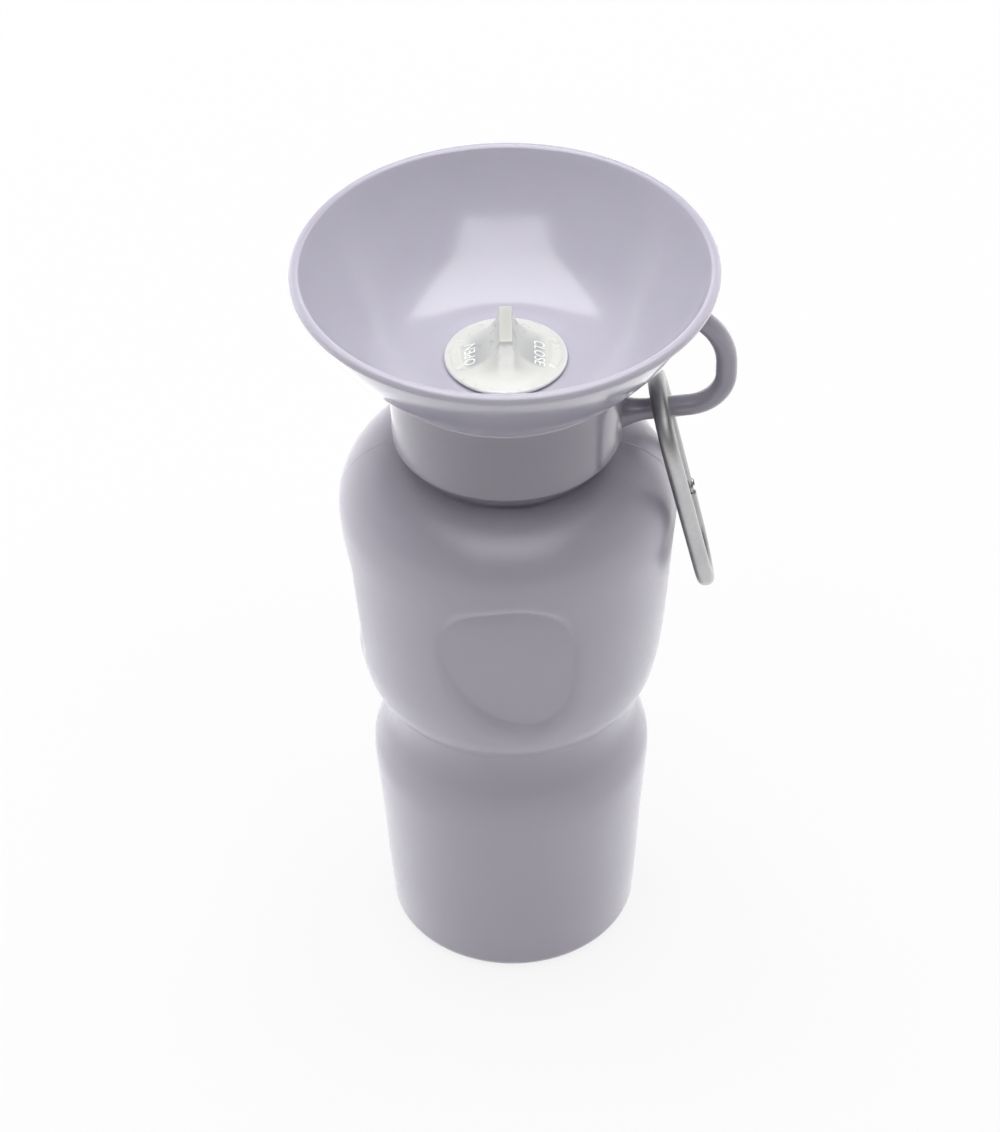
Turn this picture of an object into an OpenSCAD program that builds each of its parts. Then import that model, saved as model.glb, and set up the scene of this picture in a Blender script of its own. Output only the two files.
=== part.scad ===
// Squeeze bottle with a drinking bowl on top, for giving a dog water on a walk.
// Squeezing the bottle pushes water up the dip tube and through the quarter-turn valve into the bowl.
// Letting go sucks what is left back in.
// The origin is the centre of the base, +Z is up, and the front is at -Y.

/* [Bottle] */
// Radius of the lower body just above the base
base_r = 41.2; // [38:0.1:50]
// Rounding of the bottom edge
base_corner_r = 4.2; // [3:0.1:6]
// Inner radius of the ring that the bottle stands on
foot_r = 31; // [26:0.5:34]
// How far the middle of the base is pushed up
base_recess = 2.6; // [1:0.1:5]
// Widest radius of the lower body, under the waist
hip_r = 45.7; // [42:0.1:55]
// Height of the lower body's widest ring
hip_z = 71.6; // [60:0.1:80]
// Radius at the waist
waist_r = 40.9; // [36:0.1:44]
// Height at which the waist groove is deepest
waist_z = 91; // [84:0.1:96]
// Radius where the upper body has swelled out of the waist
bulge_r = 48.4; // [44:0.1:52]
// Height of that swelling
bulge_z = 112; // [106:0.1:125]
// Widest radius of the upper body, under the shoulder
chest_r = 53.9; // [50:0.1:66]
// Height of the upper body's widest ring
chest_z = 173.8; // [150:0.1:210]
// Rounding of the shoulder
shoulder_r = 23.7; // [15:0.1:30]
// Wall of the bottle
bottle_wall = 1.6; // [1:0.1:2.5]

/* [Grip dents] */
// Depth of the thumb dent at the front, along its middle
thumb_depth = 3.2; // [2.5:0.1:5]
// Radius of the thumb dent's floor, which is flatter than the bottle round it
thumb_floor_r = 120; // [90:5:300]
// Rounding of the thumb dent's outline
thumb_corner_r = 11; // [6:0.5:14]
// Depth of the finger dent at the left
finger_depth = 1.2; // [0.5:0.1:2.5]
// Half width of the finger dent
finger_half_w = 25; // [15:0.5:30]
// Direction that the finger dent faces, anticlockwise from +X
finger_azimuth = 172; // [120:1:200]

/* [Neck and thread] */
// Outer radius of the neck
neck_r = 32; // [28:0.1:33]
// Wall of the neck
neck_wall = 2.2; // [1.6:0.1:3]
// Height of the neck above the shoulder
neck_h = 25; // [22:0.1:30]
// Rise of the thread in one turn
thread_pitch = 5; // [4:0.1:6]
// How far the thread stands out of the neck
thread_depth = 1.5; // [1:0.1:2]
// Turns of thread on the neck
neck_turns = 1.75; // [1:0.05:2]
// Turns of thread inside the collar
collar_turns = 1.5; // [1:0.05:2]
// Gap between a thread's crest and the wall that faces it
thread_gap = 0.45; // [0.3:0.05:0.8]
// Gap between the two threads' loaded flanks
thread_play = 0.35; // [0.25:0.05:0.6]

/* [Collar] */
// Wall of the collar at its top
collar_wall = 2.5; // [2:0.1:5]
// Draft of the collar's outside, as radius lost at its lower edge
collar_draft = 0.3; // [0:0.1:0.6]
// Depth of the skirt below the deck
skirt_h = 22.6; // [18:0.1:24]
// Thickness of the deck that closes the collar
deck_t = 2.5; // [2:0.1:4]
// Height of the rim round the deck, which holds the bowl's floor
collar_rim_h = 2.5; // [2:0.1:4]
// Rounding of the collar's lower edge
collar_edge_r = 0.8; // [0.3:0.1:1]

/* [Carry loop] */
// Radius of the loop's rod
loop_rod_r = 3.4; // [2.5:0.1:4.5]
// Height of the lower arm where it leaves the collar, above the collar's lower edge
loop_root_h = 6.3; // [5:0.1:9]
// Slope of the lower arm
loop_rise = 6; // [0:0.5:12]
// Length of the lower arm outside the collar
loop_arm = 21; // [18:0.1:26]
// Radius of the loop's lower bend
loop_bend_r = 12.4; // [10:0.1:16]
// Length of the loop's upright
loop_upright = 4; // [1:0.1:8]
// Radius of the loop's upper bend
loop_top_bend_r = 21; // [15:0.1:26]
// How far the upper bend leans back over the collar
loop_lean = 45; // [35:1:55]
// How far the flare at the loop's root reaches along the arm
loop_flare = 4.5; // [2:0.1:7]

/* [Drinking bowl] */
// Outermost radius of the bowl's rim
rim_r = 66; // [58:0.1:80]
// Height of the bowl's rim above its seat on the collar
bowl_h = 36.35; // [28:0.05:45]
// Radius of the bead round the rim
bead_r = 1.75; // [1.4:0.05:2.5]
// Radius of the curve of the bowl's wall
bowl_curve_r = 92.5; // [80:0.5:160]
// Wall of the bowl
bowl_wall = 2.3; // [1.8:0.1:3]
// How far the bowl's foot overhangs the collar
foot_overhang = 2.4; // [1:0.1:4]
// Height of the bowl's floor below its seat on the collar
floor_drop = 0.2; // [0:0.05:0.5]
// Rounding between the bowl's floor and its wall
floor_fillet_r = 30; // [24:0.5:36]
// Radius of the well in the bowl's floor, under the knob
well_r = 15.5; // [14.5:0.1:17]
// Depth of the well
well_depth = 4; // [3:0.1:5]

/* [Valve] */
// Radius of the bore in the valve sleeve
valve_bore_r = 8; // [7:0.05:8.5]
// Wall of the valve sleeve
sleeve_wall = 2; // [1.5:0.1:2.5]
// Length of the valve sleeve under its flange
sleeve_len = 24; // [22:0.1:30]
// Thickness of the sleeve's flange
flange_t = 1.5; // [1:0.1:2.5]
// How far the flange reaches past the sleeve
flange_reach = 3.5; // [2:0.1:4]
// Radius of the channel inside the knob's stem
stem_bore_r = 5.4; // [4:0.1:5.4]
// Radius of the knob's disc
knob_r = 19.1; // [17:0.1:21]
// Thickness of the disc at its edge
knob_edge_t = 1; // [0.8:0.1:2]
// Gap for water between the disc and the bowl's floor
knob_lift = 1; // [0.6:0.1:2]
// Height of the finger fin above the disc
fin_h = 12.4; // [8:0.1:16]
// Thickness of the fin at its top
fin_t = 4.2; // [3:0.1:6]
// Length of the fin
fin_len = 20; // [14:0.1:24]
// Angle that each port opens
port_angle = 66; // [50:1:80]
// Thickness of the O-rings' section
o_ring_d = 1.6; // [1.4:0.1:2]

/* [Dip tube] */
// Outer radius of the dip tube
tube_r = 4.5; // [3.5:0.1:5]
// Wall of the dip tube
tube_wall = 1; // [0.6:0.1:1.5]
// Gap between the tube's lower end and the inside of the base
tube_foot_gap = 4; // [2:0.5:12]
// Length of the adapter's socket that grips the tube
socket_len = 11.5; // [8:0.5:16]

/* [Seals] */
// Thickness of the gasket between the neck and the deck
gasket_t = 2.2; // [1.5:0.1:3]
// Thickness of the flat seals under the bowl and under the flange
seal_t = 1; // [0.8:0.1:1.5]

/* [Carabiner] */
// Height of the carabiner
clip_h = 80; // [70:1:100]
// Width of the carabiner
clip_w = 40; // [36:1:50]
// Width of the carabiner's bar, seen from the side
bar_w = 6.4; // [5.5:0.1:7]
// Thickness of the carabiner
bar_t = 5.4; // [5:0.1:8]
// Thickness of the carabiner's gate
gate_t = 4.6; // [4:0.1:7]
// Rounding of the bar's edges
bar_edge_r = 2.4; // [1:0.1:2.6]
// Outer radius of the carabiner's lower end
clip_end_r = 15; // [13:0.5:18]
// Distance of the gate's pivot from the lower end of the gate side
pivot_up = 13.9; // [12:0.1:18]
// Radius of the rivet's shank
rivet_r = 1.25; // [1:0.05:1.4]
// Radius of the rivet's heads
rivet_head_r = 2.1; // [1.8:0.1:2.6]
// Height of each rivet head
rivet_head_t = 0.7; // [0.5:0.1:1]
// Distance of the carabiner's place on the arm from the collar's wall
clip_out = 10.6; // [10:0.1:16]
// Gap between the carabiner and the bottle's shoulder that it leans on
clip_rest_gap = 0.3; // [0.3:0.05:2]
// Turn of the carabiner about its own length
clip_yaw = 3; // [0:0.5:15]
// Turn of the carabiner in its own plane, lower end towards the gate side
clip_tilt = 4; // [0:0.5:8]
// Gap between the carabiner's bow and the arm that it hangs on
clip_seat_gap = 0.9; // [0.5:0.05:1]

/* [Fits] */
// Radial clearance of parts that turn in each other
run_gap = 0.06; // [0.03:0.01:0.1]
// Radial clearance of parts that are pushed together and stay
seat_gap = 0.05; // [0.02:0.01:0.1]
// Clearance between faces that pass each other
pass_gap = 0.3; // [0.2:0.05:0.5]

/* [Hidden] */
$fn = 96;

shell_color = "#b4afc0";
collar_color = "#a19daa";
bowl_color = "#c2bdce";
clear_color = "#e9e8e2";
seal_color = "#dcdde0";
metal_color = "#8d8c8b";
steel_color = "#c4c4c6";

// Small overrun that keeps a cutter's face off the face it cuts through
cut = 1;

// Heights of the stack, from the shoulder up
shoulder_z = chest_z + shoulder_r;
neck_top_z = shoulder_z + neck_h;
deck_under_z = neck_top_z + gasket_t;
deck_top_z = deck_under_z + deck_t;
seat_z = deck_top_z + collar_rim_h;
collar_low_z = deck_under_z - skirt_h;
floor_z = seat_z - floor_drop;
rim_z = seat_z + bowl_h;

// Neck and thread
mouth_r = neck_r - neck_wall;
neck_crest_r = neck_r + thread_depth;
collar_bore_r = neck_crest_r + thread_gap;
collar_crest_r = neck_r + thread_gap;
collar_r = collar_bore_r + collar_wall;
ridge_root_w = 2.4;
ridge_crest_w = 1.0;
ridge_bite = 0.6;
ridge_steps = 40;
ridge_fade = 25;
ridge_mid_w = (ridge_root_w + ridge_crest_w) / 2;
neck_thread_z = shoulder_z + 10.5;
collar_thread_z = neck_thread_z - ridge_mid_w - thread_play;

// Rim of the collar and the bowl's floor, which nests in it
rim_wall = collar_wall - 0.4;
nest_r = collar_r - rim_wall;
plug_r = nest_r - pass_gap;

// Bowl's wall: an arc from the foot to the bead
bead_c = [rim_r - bead_r, rim_z - bead_r];
foot_corner_r = 1.3;
bowl_foot_r = collar_r + foot_overhang;
wall_foot = [bowl_foot_r, seat_z + 0.3];
bead_from = -100;
bead_to = 160;
wall_head = bead_c + bead_r * [cos(bead_from), sin(bead_from)];
wall_chord = norm(wall_head - wall_foot);
wall_dir = (wall_head - wall_foot) / wall_chord;
wall_sag_h = sqrt(bowl_curve_r * bowl_curve_r - wall_chord * wall_chord / 4);
bowl_c = (wall_foot + wall_head) / 2 + [-wall_dir.y, wall_dir.x] * wall_sag_h;
bowl_in_r = bowl_curve_r - bowl_wall;
fillet_drop = bowl_c.y - floor_z - floor_fillet_r;
fillet_out = sqrt(pow(bowl_in_r - floor_fillet_r, 2) - fillet_drop * fillet_drop);
fillet_c = [bowl_c.x + fillet_out, floor_z + floor_fillet_r];
fillet_end = -atan2(fillet_drop, fillet_out);
well_floor_z = floor_z - well_depth;
well_floor_t = 2.5;
well_wall = 1.8;
deck_hole_r = well_r + well_wall + pass_gap;
seal_in_r = deck_hole_r + 3;
seal_out_r = seal_in_r + 6;

// Valve
stem_r = valve_bore_r - run_gap;
sleeve_r = valve_bore_r + sleeve_wall;
flange_r = sleeve_r + flange_reach;
flange_z = well_floor_z + seal_t;
flange_top_z = flange_z + flange_t;
port_floor_t = 2;
port_floor_z = flange_z - 16.5;
sleeve_low_z = flange_z - sleeve_len;
knob_under_z = floor_z + knob_lift;
knob_top_z = knob_under_z + knob_edge_t;
fin_top_z = knob_top_z + fin_h;
post_r = 1.6;
post_groove_r = 1.1;
port_in_r = 2.3;
port_out_r = 5.2;
stem_floor_t = 1.5;
stem_low_z = port_floor_z + run_gap;
post_low_z = port_floor_z - port_floor_t - 1.8;
groove_low_z = post_low_z + 0.5;
groove_h = 1;
clip_t = 0.8;
spout_h = knob_under_z - flange_top_z - 0.2;
o_groove_w = o_ring_d + 0.2;
o_groove_r = stem_r - o_ring_d - 0.05;
o_ring_c = stem_r + run_gap / 3 - o_ring_d / 2;
upper_ring_z = flange_z - 1.5;
lower_ring_z = port_floor_z + 4;
nut_h = 2.8;
nut_r = sleeve_r + 4.4;
well_under_z = well_floor_z - well_floor_t;

// Adapter and dip tube
adapter_flange_t = 1.5;
adapter_plug_h = 4.2;
socket_wall = 1.8;
tube_bore_r = tube_r - tube_wall;
socket_r = tube_r + socket_wall;
socket_top_z = sleeve_low_z - adapter_flange_t;
socket_low_z = socket_top_z - socket_len;
tube_low_z = base_recess + bottle_wall + tube_foot_gap;
tube_notch = 3;

// Thumb dent: centres of its outline's rounded corners, as places across and up from its middle
thumb_mid_z = (bulge_z + chest_z) / 2 + 3.1;
thumb_corners = [
    for (c = [[8, 13.5], [-10.8, 10.5], [-3.5, -8], [4.5, -14.5], [8, -12]]) c + [0, thumb_mid_z]
];
thumb_front = (bulge_r + chest_r) / 2 + 0.45;
thumb_slope = atan2(chest_r - bulge_r, chest_z - bulge_z);

// Finger dent: lowest and highest corner centres
finger_corner_r = 10;
finger_low_z = bulge_z + 15;
finger_high_z = chest_z - 17.8;

// Carry loop, as the path of its rod's centre
root_z = collar_low_z + loop_root_h;
arm_dir = [cos(loop_rise), sin(loop_rise)];
arm_start = [collar_r, root_z];
bend_start = arm_start + loop_arm * arm_dir;
bend_c = bend_start + loop_bend_r * [-arm_dir.y, arm_dir.x];
upright_start = bend_c + [loop_bend_r, 0];
upright_end = upright_start + [0, loop_upright];
top_bend_c = upright_end - [loop_top_bend_r, 0];
top_bend_end = top_bend_c + loop_top_bend_r * [cos(loop_lean), sin(loop_lean)];
loop_tail = 11;
loop_bury = 2;
flare = 1.6;

// Carabiner, in its own plane: across and up, from the middle of the bar at the top of its bow
clip_r = clip_w / 2 - bar_w / 2;
end_r = clip_end_r - bar_w / 2;
bow_c = [0, -clip_r];
end_c = [clip_end_r - clip_w / 2, bar_w / 2 - clip_h + clip_end_r];
side_angle = 2 * atan2(abs(end_c.x), bow_c.y - end_c.y);
side_dir = [sin(side_angle), cos(side_angle)];
side_start = end_c + end_r * [cos(side_angle), -sin(side_angle)];
side_end = bow_c + clip_r * [cos(side_angle), -sin(side_angle)];
side_len = norm(side_end - side_start);
tongue_t = 2.2;
tongue_r = bar_w / 2 - 0.3;
fork_slot = tongue_t + pass_gap;
gate_end_gap = 0.6;
gate_top = side_len - gate_end_gap;
nose_len = 4;
nose_w = 4;
swing_r = bar_w / 2 + 0.35;
gate_bore_r = 1.5;
gate_bore_len = 13;
plunger_r = gate_bore_r - 0.1;
plunger_tip = tongue_r + 0.15;
plunger_shoulder = 6;
plunger_end = 9;
spring_wire_r = 0.22;
spring_mean_r = gate_bore_r - 0.15 - spring_wire_r;
spring_turns = 8;

// Sections of the carabiner's bar and of its gate
bar_section = rounded_box(bar_w, bar_t, bar_edge_r, 4);
gate_section = rounded_box(bar_w, gate_t, min(bar_edge_r, gate_t / 2 - 0.1), 4);

// Middle line of the carabiner's body, as places and headings, from the pivot round to the nose
body_path = concat(
    [for (p = [pivot_up, 0]) [side_start + p * side_dir, 180 - side_angle, 1]],
    bend_steps(end_c, end_r, -side_angle - 180 / 14, -180, -180, 13),
    bend_steps(bow_c, clip_r, 180, -side_angle, -180, 20)
);

// Place of the carabiner on the loop's lower arm
clip_x = collar_r + clip_out;
clip_arm_z = root_z + clip_out * tan(loop_rise) + loop_rod_r / cos(loop_rise);
clip_z = clip_arm_z + bar_w / 2 + clip_seat_gap;

// Lean at which the gate side's inner edge just clears the shoulder, a little above the chest
rest_z = chest_z + shoulder_r / 5;
gate_tilt = side_angle - clip_tilt;
gate_across = (clip_r - (clip_z - rest_z - clip_r) * sin(gate_tilt)) / cos(gate_tilt);
gate_edge = gate_across - bar_w / 2 + bar_edge_r;
gate_y = gate_edge * cos(clip_yaw);
gate_in = gate_edge * sin(clip_yaw) + bar_t / 2 * cos(clip_yaw);
rest_c = [sqrt(chest_r * chest_r - gate_y * gate_y) - shoulder_r, chest_z];
rest_v = [clip_x, clip_z] - rest_c;
clip_lean = atan2(rest_v.y, rest_v.x) - acos((shoulder_r + clip_rest_gap + gate_in) / norm(rest_v));

// Points of an arc about c from angle a0 to angle a1
function arc(c, r, a0, a1, n) =
    [for (i = [0:n]) c + r * [cos(a0 + (a1 - a0) * i / n), sin(a0 + (a1 - a0) * i / n)]];

// Smooth curve from p0 to p1 that leaves and arrives with the given change of radius per height
function sweep_up(p0, p1, m0, m1, n) = [
    for (i = [1:n])
        let (t = i / n, h = p1.y - p0.y)
        [
            (2 * t * t * t - 3 * t * t + 1) * p0.x + (t * t * t - 2 * t * t + t) * h * m0
                + (3 * t * t - 2 * t * t * t) * p1.x + (t * t * t - t * t) * h * m1,
            p0.y + h * t
        ]
];

// Outward normal of a line of points at point i
function normal(p, i) =
    let (a = p[max(i - 1, 0)], b = p[min(i + 1, len(p) - 1)], d = (b - a) / norm(b - a)) [d.y, -d.x];

// The same line of points, moved inwards by d
function inset(p, d) = [for (i = [0:len(p) - 1]) p[i] - d * normal(p, i)];

function reversed(p) = [for (i = [len(p) - 1:-1:0]) p[i]];

// Outline round circles of radius r whose centres run anticlockwise
function rounded(centres, r, n) =
    let (k = len(centres))
    [
        for (i = [0:k - 1])
            let (
                e0 = centres[i] - centres[(i + k - 1) % k],
                e1 = centres[(i + 1) % k] - centres[i],
                a0 = atan2(e0.y, e0.x) - 90,
                a1 = atan2(e1.y, e1.x) - 90,
                turn = a1 < a0 ? a1 + 360 - a0 : a1 - a0
            )
            each arc(centres[i], r, a0, a0 + turn, n)
    ];

function rounded_box(w, h, r, n) =
    let (x = w / 2 - r, y = h / 2 - r)
    rounded([[x, y], [-x, y], [-x, -y], [x, -y]], r, n);

// Change of radius per height where the bulge becomes the upper body
bulge_slope = 0.18;

// Angle of the shoulder's rounding at which it meets the neck
neck_root_angle = acos((neck_r - chest_r + shoulder_r) / shoulder_r);

// Line of the bottle's outside, from the bottom corner to the root of the neck
bottle_line = concat(
    arc([base_r - base_corner_r, base_corner_r], base_corner_r, -90, 0, 6),
    sweep_up([base_r, base_corner_r], [hip_r, hip_z], (hip_r - base_r) / hip_z, 0, 8),
    sweep_up([hip_r, hip_z], [waist_r, waist_z], 0, 0, 9),
    sweep_up([waist_r, waist_z], [bulge_r, bulge_z], 0, bulge_slope, 9),
    sweep_up([bulge_r, bulge_z], [chest_r, chest_z], bulge_slope, 0, 8),
    arc([chest_r - shoulder_r, chest_z], shoulder_r, neck_root_angle / 12, neck_root_angle, 11)
);

// Solid of revolution inside the bottle's outside, moved inwards by d
module bottle_solid(d) {
    line = inset(bottle_line, d);
    throat_r = d > 0 ? mouth_r : neck_r;
    bottom = d > 0
        ? [[0, base_recess + d], [foot_r - base_recess, base_recess + d], [foot_r, d]]
        : [[0, base_recess], [foot_r - base_recess, base_recess], [foot_r, 0]];
    top_z = d > 0 ? neck_top_z + cut : neck_top_z;
    throat = [[throat_r, line[len(line) - 1].y], [throat_r, top_z], [0, top_z]];
    rotate_extrude() polygon(concat(bottom, line, throat));
}

// Space that the thumb dent takes out of a solid lying d under the bottle's outside
module thumb_dent(d) {
    difference() {
        rotate([90, 0, 0]) linear_extrude(chest_r + 10)
            polygon(rounded(thumb_corners, thumb_corner_r + d, 5));
        translate([0, -thumb_front, thumb_mid_z]) rotate([thumb_slope, 0, 0])
            translate([0, thumb_depth + thumb_floor_r, 0])
                cylinder(r = thumb_floor_r - d, h = 2 * chest_z, center = true);
    }
}

// Space that the finger dent takes out, whose floor follows the bottle's own curve
module finger_dent(d) {
    w = finger_half_w - finger_corner_r;
    corners = [[w, finger_high_z], [-w, finger_high_z], [-w, finger_low_z], [w, finger_low_z]];
    difference() {
        rotate([0, 0, finger_azimuth + 90]) rotate([90, 0, 0]) linear_extrude(chest_r + 10)
            polygon(rounded(corners, finger_corner_r + d, 5));
        bottle_solid(finger_depth + d);
    }
}

module dented_solid(d) {
    difference() {
        bottle_solid(d);
        thumb_dent(d);
        finger_dent(d);
    }
}

// Helical ridge between radii root and crest, centred on height z where it starts, facing out or in
module ridge(root, crest, z, turns) {
    n = ceil(turns * ridge_steps);
    points = [
        for (i = [0:n])
            let (
                a = 360 * turns * i / n,
                grow = min(1, 0.15 + a / ridge_fade, 0.15 + (360 * turns - a) / ridge_fade),
                top = root + (crest - root) * grow,
                mid = z + thread_pitch * a / 360
            )
            each [
                [root * cos(a), root * sin(a), mid - ridge_root_w / 2],
                [top * cos(a), top * sin(a), mid - ridge_crest_w / 2],
                [top * cos(a), top * sin(a), mid + ridge_crest_w / 2],
                [root * cos(a), root * sin(a), mid + ridge_root_w / 2]
            ]
    ];
    sides = [
        for (i = [0:n - 1], j = [0:3])
            let (a = 4 * i + j, b = 4 * i + (j + 1) % 4, c = b + 4, e = a + 4)
            each [[a, c, b], [a, e, c]]
    ];
    ends = [[0, 1, 2], [0, 2, 3], [4 * n, 4 * n + 2, 4 * n + 1], [4 * n, 4 * n + 3, 4 * n + 2]];
    faces = concat(sides, ends);
    // Faces keep their outer side out whether the ridge points out or in
    polyhedron(points, crest > root ? [for (f = faces) reversed(f)] : faces);
}

// Bottle: blown shell with its threaded neck, hollow up to the mouth
module bottle() {
    color(shell_color) union() {
        difference() {
            dented_solid(0);
            dented_solid(bottle_wall);
        }
        ridge(neck_r - ridge_bite, neck_crest_r, neck_thread_z, neck_turns);
    }
}

// Collar: threaded cap with a deck over the neck and a rim that holds the bowl's floor
module collar() {
    low_r = collar_r - collar_draft;
    outside = concat(
        arc([low_r - collar_edge_r, collar_low_z + collar_edge_r], collar_edge_r, -90, 0, 4),
        [[collar_r, seat_z - 0.4], [collar_r - 0.4, seat_z]]
    );
    inside = [
        [nest_r, seat_z], [nest_r, deck_top_z], [deck_hole_r, deck_top_z], [deck_hole_r, deck_under_z],
        [collar_bore_r, deck_under_z], [collar_bore_r, collar_low_z + collar_edge_r],
        [collar_bore_r + collar_edge_r, collar_low_z]
    ];
    color(collar_color) union() {
        difference() {
            rotate_extrude() polygon(concat(outside, inside));
            translate([0, 0, deck_top_z - seal_t])
                tube(seal_out_r + seat_gap, seal_in_r - seat_gap, seal_t + cut);
        }
        ridge(collar_bore_r + ridge_bite, collar_crest_r, collar_thread_z, collar_turns);
    }
}

// Ring with a bore, standing on height zero
module tube(out_r, in_r, h) {
    difference() {
        cylinder(r = out_r, h = h);
        translate([0, 0, -cut]) cylinder(r = in_r, h = h + 2 * cut);
    }
}

// Round section of radius r
function disc(r, n) = [for (i = [0:n - 1]) r * [cos(360 * i / n), sin(360 * i / n)]];

// Solid along a path in the XY plane: each step is a place, the way across, and how much wider it is there
module swept(path, section) {
    k = len(section);
    n = len(path) - 1;
    points = [
        for (step = path, q = section)
            let (x = q.x * step[2])
            [step[0].x + x * cos(step[1]), step[0].y + x * sin(step[1]), q.y * step[2]]
    ];
    walls = [
        for (i = [0:n - 1], j = [0:k - 1])
            let (a = k * i + j, b = k * i + (j + 1) % k)
            each [[a, b, b + k], [a, b + k, a + k]]
    ];
    ends = [for (j = [1:k - 2]) each [[0, j + 1, j], [k * n, k * n + j, k * n + j + 1]]];
    polyhedron(points, concat(walls, ends));
}

// Steps of a swept path round a bend about c, whose way across is the radius turned by the angle turn
function bend_steps(c, r, a0, a1, turn, n) =
    [for (i = [0:n]) let (a = a0 + (a1 - a0) * i / n) [c + r * [cos(a), sin(a)], a + turn, 1]];

// Middle line of the loop's rod, from inside the collar's wall out, up and back under the bowl
loop_path = concat(
    [
        for (i = [0:8])
            let (s = i / 8, along = 2 * loop_flare * s - loop_bury * (1 - s))
            [arm_start + along * arm_dir, loop_rise - 90, 1 + (flare - 1) * (1 - s) * (1 - s)]
    ],
    bend_steps(bend_c, loop_bend_r, loop_rise - 90, 0, 0, 12),
    bend_steps(top_bend_c, loop_top_bend_r, 0, loop_lean, 0, 9),
    [[top_bend_end + loop_tail * [-sin(loop_lean), cos(loop_lean)], loop_lean, 1]]
);

// Carry loop: round rod from the collar's side out, up and back under the bowl
module carry_loop() {
    web_t = 4.4;
    web_h = root_z - collar_low_z - collar_edge_r;
    web_out = 9;
    color(collar_color) difference() {
        union() {
            rotate([90, 0, 0]) swept(loop_path, disc(loop_rod_r, 24));
            translate([0, web_t / 2, 0]) rotate([90, 0, 0]) linear_extrude(web_t) polygon(concat(
                [[collar_r - loop_bury, root_z - web_h], [collar_r - loop_bury, root_z]],
                [
                    for (a = [0:15:90])
                        [collar_r + web_out * (1 - sin(a)), root_z - web_h * (1 - cos(a))]
                ]
            ));
        }
        // The collar's outside, which the root sits against
        translate([0, 0, collar_low_z - cut]) cylinder(
            r1 = collar_r - collar_draft + seat_gap,
            r2 = collar_r + seat_gap,
            h = seat_z - collar_low_z + cut
        );
        // The bowl's outside, which the upper end sits against
        rotate_extrude() polygon(concat(
            [[0, seat_z]],
            arc(bowl_c, bowl_curve_r + seat_gap, wall_angle(wall_foot), wall_angle(wall_head), 12),
            [[0, wall_head.y]]
        ));
    }
}

// Angle at which a point of the bowl's wall lies about the centre of the wall's curve
function wall_angle(p) = atan2(p.y - bowl_c.y, p.x - bowl_c.x);

// Drinking bowl: curved wall with a beaded rim, and a floor with a well that takes the valve
module drinking_bowl() {
    outer = arc(bowl_c, bowl_curve_r, wall_angle(wall_foot), wall_angle(wall_head), 14);
    head_angle = wall_angle(wall_head);
    inner = arc(bowl_c, bowl_in_r, head_angle, fillet_end, 12);
    fillet = arc(fillet_c, floor_fillet_r, fillet_end, -90, 8);
    floor_line = [
        [well_r, floor_z], [well_r, well_floor_z], [sleeve_r + seat_gap, well_floor_z],
        [sleeve_r + seat_gap, well_under_z], [well_r + well_wall, well_under_z],
        [well_r + well_wall, deck_top_z], [plug_r, deck_top_z], [plug_r, seat_z]
    ];
    foot = arc([bowl_foot_r - foot_corner_r - 0.4, seat_z + foot_corner_r], foot_corner_r, -90, -40, 3);
    bead = arc(bead_c, bead_r, bead_from + 20, bead_to, 12);
    color(bowl_color) rotate_extrude() polygon(concat(outer, bead, inner, fillet, floor_line, foot));
}

// Neck gasket: flat ring that the deck presses onto the mouth
module neck_gasket() {
    color(seal_color) translate([0, 0, neck_top_z]) tube(collar_bore_r - pass_gap, mouth_r, gasket_t);
}

// Bowl seal: flat ring in the deck's groove, under the bowl's floor
module bowl_seal() {
    color(seal_color) translate([0, 0, deck_top_z - seal_t]) tube(seal_out_r, seal_in_r, seal_t);
}

// Sleeve seal: flat ring between the valve sleeve's flange and the floor of the well
module sleeve_seal() {
    color(seal_color) translate([0, 0, well_floor_z]) tube(flange_r - 0.5, sleeve_r + seat_gap, seal_t);
}

// Prism of two facing ports, centred on the angle mid
module ports(mid, h) {
    for (side = [0, 180])
        linear_extrude(h) polygon(concat(
            arc([0, 0], port_out_r, side + mid - port_angle / 2, side + mid + port_angle / 2, 8),
            arc([0, 0], port_in_r, side + mid + port_angle / 2, side + mid - port_angle / 2, 8)
        ));
}

// Valve sleeve: fixed barrel with a flange, and a floor with two ports that lie left and right
module valve_sleeve() {
    color(clear_color) difference() {
        rotate_extrude() polygon([
            [valve_bore_r, flange_top_z], [valve_bore_r, port_floor_z],
            [post_r + run_gap, port_floor_z], [post_r + run_gap, port_floor_z - port_floor_t],
            [valve_bore_r, port_floor_z - port_floor_t], [valve_bore_r, sleeve_low_z],
            [sleeve_r, sleeve_low_z], [sleeve_r, flange_z], [flange_r, flange_z],
            [flange_r, flange_top_z - 0.4], [flange_r - 0.4, flange_top_z]
        ]);
        translate([0, 0, port_floor_z - port_floor_t - cut]) ports(0, port_floor_t + 2 * cut);
    }
}

// Sleeve nut: hexagon that pulls the sleeve's flange down from under the well
module sleeve_nut() {
    color(clear_color) translate([0, 0, well_under_z - nut_h]) difference() {
        cylinder(r = nut_r, h = nut_h, $fn = 6);
        translate([0, 0, -cut]) cylinder(r = sleeve_r + seat_gap, h = nut_h + 2 * cut);
    }
}

// Cross-section of the knob's tent: hollow curves that rise from the disc's edge to the fin
function tent(steps) =
    let (reach = knob_r - fin_t / 2)
    concat(
        [for (i = [0:steps]) let (a = 90 * i / steps) [
            knob_r - reach * sin(a), knob_top_z + fin_h * (1 - cos(a))
        ]],
        [for (i = [steps:-1:0]) let (a = 90 * i / steps) [
            reach * sin(a) - knob_r, knob_top_z + fin_h * (1 - cos(a))
        ]]
    );

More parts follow.
